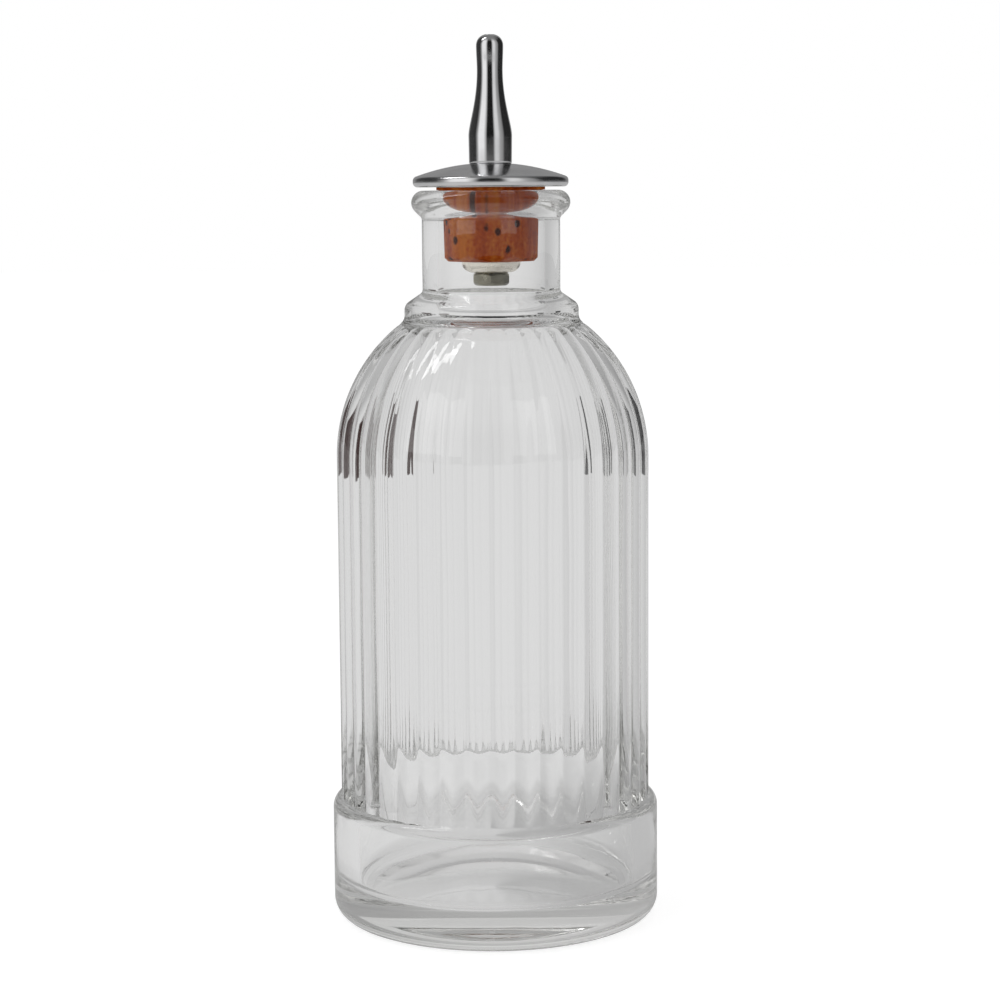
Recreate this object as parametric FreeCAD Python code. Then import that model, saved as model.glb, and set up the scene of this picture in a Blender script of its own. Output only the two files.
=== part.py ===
import FreeCAD, Part
import math
import os

# A bitters bottle: a clear reeded glass bottle closed by a cork that carries a metal dasher top.
# Millimetres, +Z up. The origin is on the bottle's axis, in the plane that it stands on.
# Every piece is built where it sits with the stopper pushed home.

Vector = FreeCAD.Vector
UP = Vector(0, 0, 1)
OUT = Vector(1, 0, 0)
FULL_TURN = 360
CUBIC_MM_PER_ML = 1000

# Glass: reeded body and shoulder
BODY_DIAMETER = 62.6
BODY_TOP_HEIGHT = 93.8
REED_COUNT = 40
REED_DEPTH = 0.45
REED_TURN_DEGREES = -87.42
SHOULDER_RADIUS = 33.5
SHOULDER_RINGS = 9
REED_END_GAP = 1.1
REED_END_SHARE = 0.2

# Glass: base band, with its heel, contact ring and punt
BAND_STEP = 1.7
BAND_HEIGHT = 24.9
BAND_TOP_ROUND = 2.4
HEEL_ROUND = 4.0
CONTACT_RING_WIDTH = 3.5
PUNT_RISE = 2.0

# Glass: neck, collar ring and lip bead
NECK_DIAMETER = 27.5
NECK_HEIGHT = 20.1
COLLAR_REACH = 3.65
COLLAR_LEDGE = 0.25
COLLAR_SIDE = 2.9
COLLAR_SLOPE_RISE = 2.5
COLLAR_ROUND = 2.0
COLLAR_NECK_ROUND = 1.0
LIP_REACH = 2.05
LIP_ROUND = 2.4
LIP_FLANK_DEGREES = 45.0
LIP_NECK_ROUND = 1.0
MOUTH_ROUND = 1.0

# Glass: inside
WALL = 3.1
FLOOR_THICKNESS = 7.4
FLOOR_CROWN = 1.0
FLOOR_ROUND = 2.4
NECK_WALL = 3.0
BORE_CHOKE = 1.1
CHOKE_HEIGHT = 4.4
CHOKE_EASE = 2.0
BORE_FOOT_ROUND = 3.0

# Cork
CORK_LENGTH = 14.6
CORK_CLEARANCE = 0.08
CORK_HEAD_OVERHANG = 0.15
CORK_TAPER = 0.3
CORK_FOOT_BEVEL = 0.7

# Dasher flange
FLANGE_LIFT = 0.65
FLANGE_DIAMETER = 30.9
FLANGE_HEIGHT = 4.55
FLANGE_RIM_HEIGHT = 1.9
FLANGE_RIM_ROUND_SHARE = 0.47
FLANGE_DOME_RADIUS = 43.0

# Dasher spout
SPOUT_HEIGHT = 25.35
SPOUT_FOOT_DIAMETER = 8.46
SPOUT_FOOT_BEVEL = 0.25
SPOUT_BARREL_DIAMETER = 8.62
SPOUT_BARREL_HEIGHT = 5.5
SPOUT_SHOULDER_EASE = 2.3
SPOUT_WAIST_DIAMETER = 5.08
SPOUT_WAIST_HEIGHT = 18.4
SPOUT_WAIST_EASE = 6.2
SPOUT_BEAD_DIAMETER = 5.36
SPOUT_BEAD_EASE = 1.5
SPOUT_TIP_ROUND = 2.15
SPOUT_BORE_DIAMETER = 2.6
SPOUT_ORIFICE_DIAMETER = 1.6
SPOUT_ORIFICE_LENGTH = 2.0

# Stem, cup washer and nut
STEM_DIAMETER = 4.0
STEM_BORE_DIAMETER = 2.2
STEM_GRIP = 6.0
STEM_END_BEVEL = 0.35
STEM_RECESS = 0.2
STEM_CLEARANCE = 0.05
WASHER_DIAMETER = 11.8
WASHER_HEIGHT = 2.35
WASHER_SHEET = 0.7
WASHER_BOWL_ROUND = 2.1
NUT_ACROSS_FLATS = 7.0
NUT_HEIGHT = 2.65
NUT_SIDES = 6
NUT_BEVEL_DEGREES = 30.0

# Every cut runs this far past the faces that it leaves through
OVERRUN = 5.0

# Radii that follow from the sizes above
body_radius = BODY_DIAMETER / 2
inner_radius = body_radius - WALL
base_radius = body_radius + BAND_STEP
neck_radius = NECK_DIAMETER / 2
collar_radius = neck_radius + COLLAR_REACH
lip_radius = neck_radius + LIP_REACH
bore_foot_radius = neck_radius - NECK_WALL
mouth_radius = bore_foot_radius - BORE_CHOKE
stem_radius = STEM_DIAMETER / 2
stem_hole_radius = stem_radius + STEM_CLEARANCE
shoulder_centre_radius = body_radius - SHOULDER_RADIUS
shoulder_top_radius = collar_radius - COLLAR_LEDGE

# Levels that follow, from the shoulder up to the mouth and from there to the stopper's pieces
shoulder_sweep = math.acos((shoulder_top_radius - shoulder_centre_radius) / SHOULDER_RADIUS)
collar_level = BODY_TOP_HEIGHT + SHOULDER_RADIUS * math.sin(shoulder_sweep)
collar_edge_level = collar_level + COLLAR_SIDE
neck_level = collar_edge_level + COLLAR_SLOPE_RISE
mouth_level = neck_level + NECK_HEIGHT
flange_level = mouth_level + FLANGE_LIFT
spout_level = flange_level + FLANGE_HEIGHT
tip_level = spout_level + SPOUT_HEIGHT
cork_foot_level = flange_level - CORK_LENGTH
nut_top_level = cork_foot_level - WASHER_HEIGHT
nut_foot_level = nut_top_level - NUT_HEIGHT
stem_foot_level = nut_foot_level + STEM_RECESS
stem_top_level = spout_level + STEM_GRIP


def at(radius, level):
    """A point of a turned outline: its distance from the axis and its height."""
    return Vector(radius, 0, level)


def about(centre, radius, angle):
    """The point of an outline at an angle above the level direction on a circle round a centre."""
    return centre + OUT * (radius * math.cos(angle)) + UP * (radius * math.sin(angle))


def chain(*points):
    """Straight edges from point to point."""
    return [Part.makeLine(start, end) for start, end in zip(points, points[1:])]


def arc(start, middle, end):
    return Part.Arc(start, middle, end).toShape()


def turn_about(centre, radius, start_angle, end_angle):
    """The arc round a centre between two angles."""
    middle_angle = (start_angle + end_angle) / 2
    return arc(*[about(centre, radius, angle) for angle in (start_angle, middle_angle, end_angle)])


def bezier(*poles):
    curve = Part.BezierCurve()
    curve.setPoles(list(poles))
    return curve.toShape()


def rounded_path(corners):
    """Edges through (point, rounding) corners, each corner eased by a tangent arc of its rounding."""
    edges = []
    last = corners[0][0]
    for index in range(1, len(corners) - 1):
        corner, rounding = corners[index]
        back = (corners[index - 1][0] - corner).normalize()
        ahead = (corners[index + 1][0] - corner).normalize()
        half_angle = back.getAngle(ahead) / 2
        reach = rounding / math.tan(half_angle)
        start = corner + back * reach
        end = corner + ahead * reach
        edges += chain(last, start)
        if rounding:
            inward = (back + ahead).normalize()
            edges.append(arc(start, corner + inward * (rounding / math.sin(half_angle) - rounding), end))
        last = end
    return edges + chain(last, corners[-1][0])


def turned(edges):
    """A solid of revolution about Z from an outline in the XZ plane, closed along the axis if it is open."""
    wire = Part.Wire(edges)
    if not wire.isClosed():
        ends = wire.OrderedVertexes
        wire = Part.Wire(edges + chain(ends[-1].Point, ends[0].Point))
    return Part.Face(wire).revolve(Vector(0, 0, 0), UP, FULL_TURN)


def drill(radius, bottom, top):
    """What a hole on the axis takes away between two faces, with the overrun at both."""
    return Part.makeCylinder(radius, top - bottom + 2 * OVERRUN, at(0, bottom - OVERRUN))


def rings(solid, *points):
    """The edges of a turned solid that are full circles through the given points of its outline."""
    found = []
    for edge in solid.Edges:
        if edge.Degenerated or not isinstance(edge.Curve, Part.Circle):
            continue
        place = at(edge.Curve.Radius, edge.Curve.Center.z)
        if any(place.distanceToPoint(point) < Part.Precision.approximation() for point in points):
            found.append(edge)
    return found


def reeded_wire(crest_radius, depth, level):
    """A closed ring of outward arcs, one for each reed, that meet in sharp grooves."""
    pitch = 2 * math.pi / REED_COUNT
    first = math.radians(REED_TURN_DEGREES)

    def on_ring(radius, angle):
        return Vector(radius * math.cos(angle), radius * math.sin(angle), level)

    reeds = []
    for index in range(REED_COUNT):
        crest = first + index * pitch
        start = on_ring(crest_radius - depth, crest - pitch / 2)
        end = on_ring(crest_radius - depth, crest + pitch / 2)
        reeds.append(arc(start, on_ring(crest_radius, crest), end))
    return Part.Wire(reeds)


def base_band():
    """The plain band at the foot, with its contact ring, rounded heel and shallow punt."""
    ring_radius = base_radius - HEEL_ROUND - CONTACT_RING_WIDTH
    punt_radius = (ring_radius ** 2 + PUNT_RISE ** 2) / (2 * PUNT_RISE)
    punt_half_angle = math.asin(ring_radius / punt_radius)
    upright = math.pi / 2
    punt = turn_about(at(0, PUNT_RISE - punt_radius), punt_radius, upright, upright - punt_half_angle)
    side = rounded_path([
        (at(ring_radius, 0), 0),
        (at(base_radius, 0), HEEL_ROUND),
        (at(base_radius, BAND_HEIGHT), BAND_TOP_ROUND),
        (at(0, BAND_HEIGHT), 0),
    ])
    return turned([punt] + side)


def reeded_body():
    """The straight reeded wall, from inside the band up to the shoulder."""
    start = BAND_HEIGHT - BAND_TOP_ROUND
    section = Part.Face(reeded_wire(body_radius, REED_DEPTH, start))
    return section.extrude(UP * (BODY_TOP_HEIGHT - start))


def reeded_shoulder():
    """The domed shoulder: reeded rings along one arc, which shrink with it and die out at the collar."""
    reed_end_sweep = shoulder_sweep - REED_END_GAP / SHOULDER_RADIUS
    angles = [reed_end_sweep * index / (SHOULDER_RINGS - 1) for index in range(SHOULDER_RINGS)]
    depth_shares = [1] * SHOULDER_RINGS + [REED_END_SHARE]
    sections = []
    for angle, share in zip(angles + [shoulder_sweep], depth_shares):
        ring = about(at(shoulder_centre_radius, BODY_TOP_HEIGHT), SHOULDER_RADIUS, angle)
        sections.append(reeded_wire(ring.x, share * REED_DEPTH * ring.x / body_radius, ring.z))
    return Part.makeLoft(sections, True)


def neck_and_lip():
    """The collar ring, the plain neck and the rounded lip bead, still solid."""
    flank = math.radians(LIP_FLANK_DEGREES)
    bead_centre = at(lip_radius - LIP_ROUND, mouth_level - LIP_ROUND)
    bead_start = about(bead_centre, LIP_ROUND, -flank)
    flank_reach = (bead_start.x - neck_radius) / math.sin(flank)
    flank_foot = bead_start - (OUT * math.sin(flank) + UP * math.cos(flank)) * flank_reach
    side = rounded_path([
        (at(0, collar_level), 0),
        (at(collar_radius, collar_level), 0),
        (at(collar_radius, collar_edge_level), COLLAR_ROUND),
        (at(neck_radius, neck_level), COLLAR_NECK_ROUND),
        (flank_foot, LIP_NECK_ROUND),
        (bead_start, 0),
    ])
    bead = turn_about(bead_centre, LIP_ROUND, -flank, math.pi / 2)
    return turned(side + [bead] + chain(at(bead_centre.x, mouth_level), at(0, mouth_level)))


def bottle_inside():
    """The space inside the glass: a chamber with a crowned floor, a domed shoulder and the cork's bore."""
    floor_edge = at(inner_radius, FLOOR_THICKNESS)
    floor_radius = (inner_radius ** 2 + FLOOR_CROWN ** 2) / (2 * FLOOR_CROWN)
    floor_half_angle = math.asin(inner_radius / floor_radius)
    floor_centre = at(0, FLOOR_THICKNESS + FLOOR_CROWN - floor_radius)
    upright = math.pi / 2
    floor = turn_about(floor_centre, floor_radius, upright, upright - floor_half_angle)
    dome_radius = SHOULDER_RADIUS - WALL
    dome_centre = at(shoulder_centre_radius, BODY_TOP_HEIGHT)
    dome_sweep = math.acos((bore_foot_radius - shoulder_centre_radius) / dome_radius)
    bore_foot = about(dome_centre, dome_radius, dome_sweep)
    mouth_centre = at(mouth_radius + MOUTH_ROUND, mouth_level - MOUTH_ROUND)
    mouth_start = at(mouth_radius, mouth_centre.z)
    mouth_end = at(mouth_centre.x, mouth_level)
    choke_foot = mouth_start + OUT * BORE_CHOKE - UP * CHOKE_HEIGHT
    ease = UP * CHOKE_EASE
    outline = [floor] + chain(floor_edge, at(inner_radius, BODY_TOP_HEIGHT))
    outline += [turn_about(dome_centre, dome_radius, 0, dome_sweep)] + chain(bore_foot, choke_foot)
    outline += [bezier(choke_foot, choke_foot + ease, mouth_start - ease, mouth_start)]
    outline += [turn_about(mouth_centre, MOUTH_ROUND, math.pi, upright)]
    outline += chain(mouth_end, mouth_end + UP * OVERRUN, at(0, mouth_level + OVERRUN))
    space = turned(outline)
    space = space.makeFillet(FLOOR_ROUND, rings(space, floor_edge))
    return space.makeFillet(BORE_FOOT_ROUND, rings(space, bore_foot))


def glass_bottle():
    outside = base_band().fuse([reeded_body(), reeded_shoulder(), neck_and_lip()])
    return outside.cut(bottle_inside()).removeSplitter()


def cork_stopper():
    """A tapered cork whose squeezed head swells over the rounded mouth, with a hole for the stem."""
    head_radius = mouth_radius + MOUTH_ROUND + CORK_HEAD_OVERHANG
    foot_radius = mouth_radius - CORK_CLEARANCE - CORK_TAPER
    swell_centre = at(mouth_radius + MOUTH_ROUND, mouth_level - MOUTH_ROUND)
    swell_radius = MOUTH_ROUND + CORK_CLEARANCE
    swell_top = swell_centre + UP * swell_radius
    outline = chain(
        at(0, flange_level),
        at(head_radius, flange_level),
        at(head_radius, swell_top.z),
        swell_top,
    )
    outline += [turn_about(swell_centre, swell_radius, math.pi / 2, math.pi)]
    outline += chain(
        swell_centre - OUT * swell_radius,
        at(foot_radius, cork_foot_level + CORK_FOOT_BEVEL),
        at(foot_radius - CORK_FOOT_BEVEL, cork_foot_level),
        at(0, cork_foot_level),
    )
    return turned(outline).cut(drill(stem_hole_radius, cork_foot_level, flange_level))


def dasher_flange():
    """The domed cover disc, with a flat on its crown for the spout and a rounded rim."""
    rim_foot = at(FLANGE_DIAMETER / 2, flange_level)
    rim_top = rim_foot + UP * FLANGE_RIM_HEIGHT
    flat_edge = at(SPOUT_FOOT_DIAMETER / 2, spout_level)
    chord = flat_edge - rim_top
    sagitta = FLANGE_DOME_RADIUS - math.sqrt(FLANGE_DOME_RADIUS ** 2 - (chord.Length / 2) ** 2)
    crown = (rim_top + flat_edge) / 2 + (OUT * chord.z - UP * chord.x).normalize() * sagitta
    outline = chain(at(0, flange_level), rim_foot, rim_top)
    outline += [arc(rim_top, crown, flat_edge)] + chain(flat_edge, at(0, spout_level))
    disc = turned(outline)
    disc = disc.makeFillet(FLANGE_RIM_ROUND_SHARE * FLANGE_RIM_HEIGHT, rings(disc, rim_foot, rim_top))
    return disc.cut(drill(stem_hole_radius, flange_level, spout_level))


def dasher_spout():
    """The tapered spout: a barrel, a drawn-in waist and a beaded tip round a small orifice."""
    foot_radius = SPOUT_FOOT_DIAMETER / 2
    barrel = at(SPOUT_BARREL_DIAMETER / 2, spout_level + SPOUT_BARREL_HEIGHT)
    waist = at(SPOUT_WAIST_DIAMETER / 2, spout_level + SPOUT_WAIST_HEIGHT)
    bead = at(SPOUT_BEAD_DIAMETER / 2, tip_level - SPOUT_TIP_ROUND)
    tip_centre = bead - OUT * SPOUT_TIP_ROUND
    outline = chain(
        at(0, spout_level),
        at(foot_radius - SPOUT_FOOT_BEVEL, spout_level),
        at(foot_radius, spout_level + SPOUT_FOOT_BEVEL),
        barrel,
    )
    outline += [
        bezier(barrel, barrel + UP * SPOUT_SHOULDER_EASE, waist - UP * SPOUT_WAIST_EASE, waist),
        bezier(waist, waist + UP * SPOUT_BEAD_EASE, bead - UP * SPOUT_BEAD_EASE, bead),
        turn_about(tip_centre, SPOUT_TIP_ROUND, 0, math.pi / 2),
    ]
    outline += chain(at(tip_centre.x, tip_level), at(0, tip_level))
    return turned(outline).cut(spout_throat())


def spout_throat():
    """The way through the spout: the stem's socket, a plain bore and the orifice it narrows to."""
    bore_radius = SPOUT_BORE_DIAMETER / 2
    orifice_radius = SPOUT_ORIFICE_DIAMETER / 2
    orifice_level = tip_level - SPOUT_ORIFICE_LENGTH
    return turned(chain(
        at(0, spout_level - OVERRUN),
        at(stem_hole_radius, spout_level - OVERRUN),
        at(stem_hole_radius, stem_top_level),
        at(bore_radius, stem_top_level),
        at(bore_radius, orifice_level - bore_radius + orifice_radius),
        at(orifice_radius, orifice_level),
        at(orifice_radius, tip_level + OVERRUN),
        at(0, tip_level + OVERRUN),
    ))


def dasher_stem():
    """The hollow stud that ties spout, flange, cork, washer and nut together and lets the liquid through."""
    end_radius = stem_radius - STEM_END_BEVEL
    rod = turned(chain(
        at(0, stem_foot_level),
        at(end_radius, stem_foot_level),
        at(stem_radius, stem_foot_level + STEM_END_BEVEL),
        at(stem_radius, stem_top_level - STEM_END_BEVEL),
        at(end_radius, stem_top_level),
        at(0, stem_top_level),
    ))
    return rod.cut(drill(STEM_BORE_DIAMETER / 2, stem_foot_level, stem_top_level))


def cup_washer():
    """A pressed cup, rim up against the cork, with a flat floor that the nut pulls on."""
    rim = at(WASHER_DIAMETER / 2, cork_foot_level)
    inner_rim = rim - OUT * WASHER_SHEET
    floor_level = nut_top_level + WASHER_SHEET
    outer_wall = rounded_path([
        (at(stem_hole_radius, nut_top_level), 0),
        (at(rim.x, nut_top_level), WASHER_BOWL_ROUND),
        (rim, 0),
    ])
    inner_wall = rounded_path([
        (inner_rim, 0),
        (at(inner_rim.x, floor_level), WASHER_BOWL_ROUND - WASHER_SHEET),
        (at(stem_hole_radius, floor_level), 0),
    ])
    return turned(outer_wall + chain(rim, inner_rim) + inner_wall)


def lock_nut():
    """A hexagon nut, with both faces bevelled at the corners, one corner towards the front."""
    flat_radius = NUT_ACROSS_FLATS / 2
    corner_radius = flat_radius / math.cos(math.pi / NUT_SIDES)
    front_corner = Vector(0, -corner_radius, nut_foot_level)
    turns = [FULL_TURN * index / NUT_SIDES for index in range(NUT_SIDES + 1)]
    points = [FreeCAD.Rotation(UP, turn).multVec(front_corner) for turn in turns]
    prism = Part.Face(Part.makePolygon(points)).extrude(UP * NUT_HEIGHT)
    waist_radius = flat_radius + NUT_HEIGHT / 2 / math.tan(math.radians(NUT_BEVEL_DEGREES))
    bevels = turned(chain(
        at(0, nut_foot_level),
        at(flat_radius, nut_foot_level),
        at(waist_radius, (nut_foot_level + nut_top_level) / 2),
        at(flat_radius, nut_top_level),
        at(0, nut_top_level),
    ))
    return prism.common(bevels).cut(drill(stem_hole_radius, nut_foot_level, nut_top_level))


def brimful_volume():
    """What the bottle holds up to its mouth with the stopper out."""
    above = Part.makeCylinder(base_radius, 2 * OVERRUN, at(0, mouth_level))
    return bottle_inside().cut(above).Volume


PIECES = [glass_bottle, cork_stopper, dasher_flange, dasher_spout, dasher_stem, cup_washer, lock_nut]

os.makedirs("parts", exist_ok=True)
for make in PIECES:
    solid = make().Solids[0]
    solid.exportStep(os.path.join("parts", make.__name__ + ".step"))
    print(make.__name__, "valid" if solid.isValid() else "not valid", "%.1f cubic mm" % solid.Volume)
print("overall height %.2f mm" % tip_level)
print("capacity to the mouth %.0f ml" % (brimful_volume() / CUBIC_MM_PER_ML))
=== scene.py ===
# %% [markdown]
# # A bitters bottle of reeded glass
#
# The bottle is one piece of clear moulded glass. Its stopper is a cork that carries a chromed dasher: a
# domed flange, a tapered spout, a hollow stem, a cup washer and a nut. The construction comes packed with
# its real sizes. This lesson dresses it: round pieces are turned again from smooth outlines by Geometry
# Nodes, because glass and chrome show every facet, and each finish is a small tree of shader nodes.

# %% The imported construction
import math

import bmesh
import bpy
from mathutils import Matrix, Vector


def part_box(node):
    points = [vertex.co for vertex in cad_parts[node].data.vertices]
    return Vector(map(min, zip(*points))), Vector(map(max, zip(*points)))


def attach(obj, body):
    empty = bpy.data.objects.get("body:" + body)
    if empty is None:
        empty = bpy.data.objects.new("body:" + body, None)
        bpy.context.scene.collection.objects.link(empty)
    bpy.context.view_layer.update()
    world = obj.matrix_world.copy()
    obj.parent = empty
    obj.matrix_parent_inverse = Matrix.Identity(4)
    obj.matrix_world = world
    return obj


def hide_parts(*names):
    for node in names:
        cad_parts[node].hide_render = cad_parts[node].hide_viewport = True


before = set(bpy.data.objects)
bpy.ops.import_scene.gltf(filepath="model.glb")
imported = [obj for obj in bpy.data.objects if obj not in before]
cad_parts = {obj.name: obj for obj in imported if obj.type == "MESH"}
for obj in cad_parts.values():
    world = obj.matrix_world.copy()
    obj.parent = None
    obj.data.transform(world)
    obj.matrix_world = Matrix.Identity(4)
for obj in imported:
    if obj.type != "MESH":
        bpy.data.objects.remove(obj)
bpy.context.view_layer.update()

MM = 0.001
scene = bpy.context.scene
glass_low, glass_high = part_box("glass_bottle")
print("glass", [round(value / MM, 2) for value in (*glass_low, *glass_high)], "mm")

# %% [markdown]
# ## Outlines
#
# A turned piece is drawn as half of its section: points given as (distance from the axis, height). Corners
# are drawn sharp with a rounding beside each one, as on a drawing, and the arcs are worked out from that.
# Typing every point of an arc by hand would work once, but no size could then be changed.

# %% Helpers that draw an outline
ARC_STEP = math.radians(9)
UPRIGHT = math.pi / 2
UP = Vector((0, 1))
INWARD = Vector((-1, 0))
WELD = 0.002 * MM
LEAST_STEP = 5 * WELD


def around(centre, radius, angle):
    """The point at an angle above the level direction on a circle round a centre."""
    return Vector((centre[0] + radius * math.cos(angle), centre[1] + radius * math.sin(angle)))


def bearing(way):
    """The angle of a direction above the level one."""
    return math.atan2(way.y, way.x)


def arc(centre, radius, start, end, step=ARC_STEP):
    """Points along an arc, both ends included."""
    count = max(2, math.ceil(abs(end - start) / step))
    return [around(centre, radius, start + (end - start) * index / count) for index in range(count + 1)]


def run(start, end, count):
    """Evenly spaced points along a straight stretch, both ends included."""
    start, end = Vector(start), Vector(end)
    return [start.lerp(end, index / count) for index in range(count + 1)]


def rounded(corners):
    """Points through (radius, height, rounding) corners, each eased by a tangent arc."""
    places = [Vector(corner[:2]) for corner in corners]
    points = [places[0]]
    for index in range(1, len(corners) - 1):
        place, rounding = places[index], corners[index][2]
        if not rounding:
            points.append(place)
            continue
        back = (places[index - 1] - place).normalized()
        ahead = (places[index + 1] - place).normalized()
        half = back.angle(ahead) / 2
        centre = place + (back + ahead).normalized() * (rounding / math.sin(half))
        first = bearing(place + back * (rounding / math.tan(half)) - centre)
        last = bearing(place + ahead * (rounding / math.tan(half)) - centre)
        sweep = (last - first + math.pi) % (2 * math.pi) - math.pi
        points += arc(centre, rounding, first, first + sweep)
    return points + [places[-1]]


def bezier(first, first_handle, last_handle, last, count):
    """Points along one cubic curve, both ends included."""
    poles = (first, first_handle, last_handle, last)
    points = []
    for index in range(count + 1):
        t = index / count
        weights = ((1 - t) ** 3, 3 * t * (1 - t) ** 2, 3 * t ** 2 * (1 - t), t ** 3)
        points.append(sum((pole * weight for pole, weight in zip(poles, weights)), Vector((0, 0))))
    return points


def rounding_centre(foot, way, side, rounding, centre, distance):
    """The centre of a rounding that touches a straight wall and a circle: it lies off the wall to one
    side by the rounding, and at a distance from the circle's centre."""
    start = foot + side * rounding - centre
    along = start.dot(way)
    return centre + start + way * (math.sqrt(along ** 2 - start.length_squared + distance ** 2) - along)


def thinned(points):
    """The points without those that repeat the one before."""
    kept = [points[0]]
    for point in points[1:]:
        if (point - kept[-1]).length > LEAST_STEP:
            kept.append(point)
    return kept


# %% [markdown]
# ## A lathe made of nodes
#
# Spin or Screw could turn an outline, but a tree of Geometry Nodes can turn it and work its surface in the
# same pass. A grid is laid out with one row for each point of the outline and one column for each step
# round the axis. Every grid point then looks up its row's radius and height, and is put in its place.
# Welding closes the seam, and the poles where an outline starts on the axis.

# %% Helpers that build node trees
def spaced(label):
    """A socket's name from the way it is written as an argument."""
    return label.replace("_", " ")


def add(tree, kind, **settings):
    """A new node, with its settings."""
    made = tree.nodes.new(kind)
    for name, value in settings.items():
        setattr(made, name, value)
    return made


def feed(tree, socket, value):
    """Links a socket to another one, or sets its plain value."""
    if isinstance(value, bpy.types.NodeSocket):
        tree.links.new(value, socket)
    else:
        socket.default_value = value


def calc(tree, operation, *values):
    """A Math node over sockets and numbers, as its output socket."""
    made = add(tree, "ShaderNodeMath", operation=operation)
    for socket, value in zip(made.inputs, values):
        feed(tree, socket, value)
    return made.outputs[0]


def axes(tree, vector):
    """The X, Y and Z of a vector, as sockets."""
    split = add(tree, "ShaderNodeSeparateXYZ")
    feed(tree, split.inputs[0], vector)
    return split.outputs


def apply(tree, kind, geometry, **values):
    """A node that takes a geometry and gives it back changed."""
    made = add(tree, kind)
    feed(tree, made.inputs[0], geometry)
    for name, value in values.items():
        feed(tree, made.inputs[spaced(name)], value)
    return made.outputs[0]


def open_sockets(tree, way, kind, *labels):
    """New sockets of one kind, through which a tree takes something in or gives it out."""
    return [tree.interface.new_socket(label, in_out=way, socket_type="NodeSocket" + kind) for label in labels]


# %% The lathe
LATHE_STEPS = 96


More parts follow.
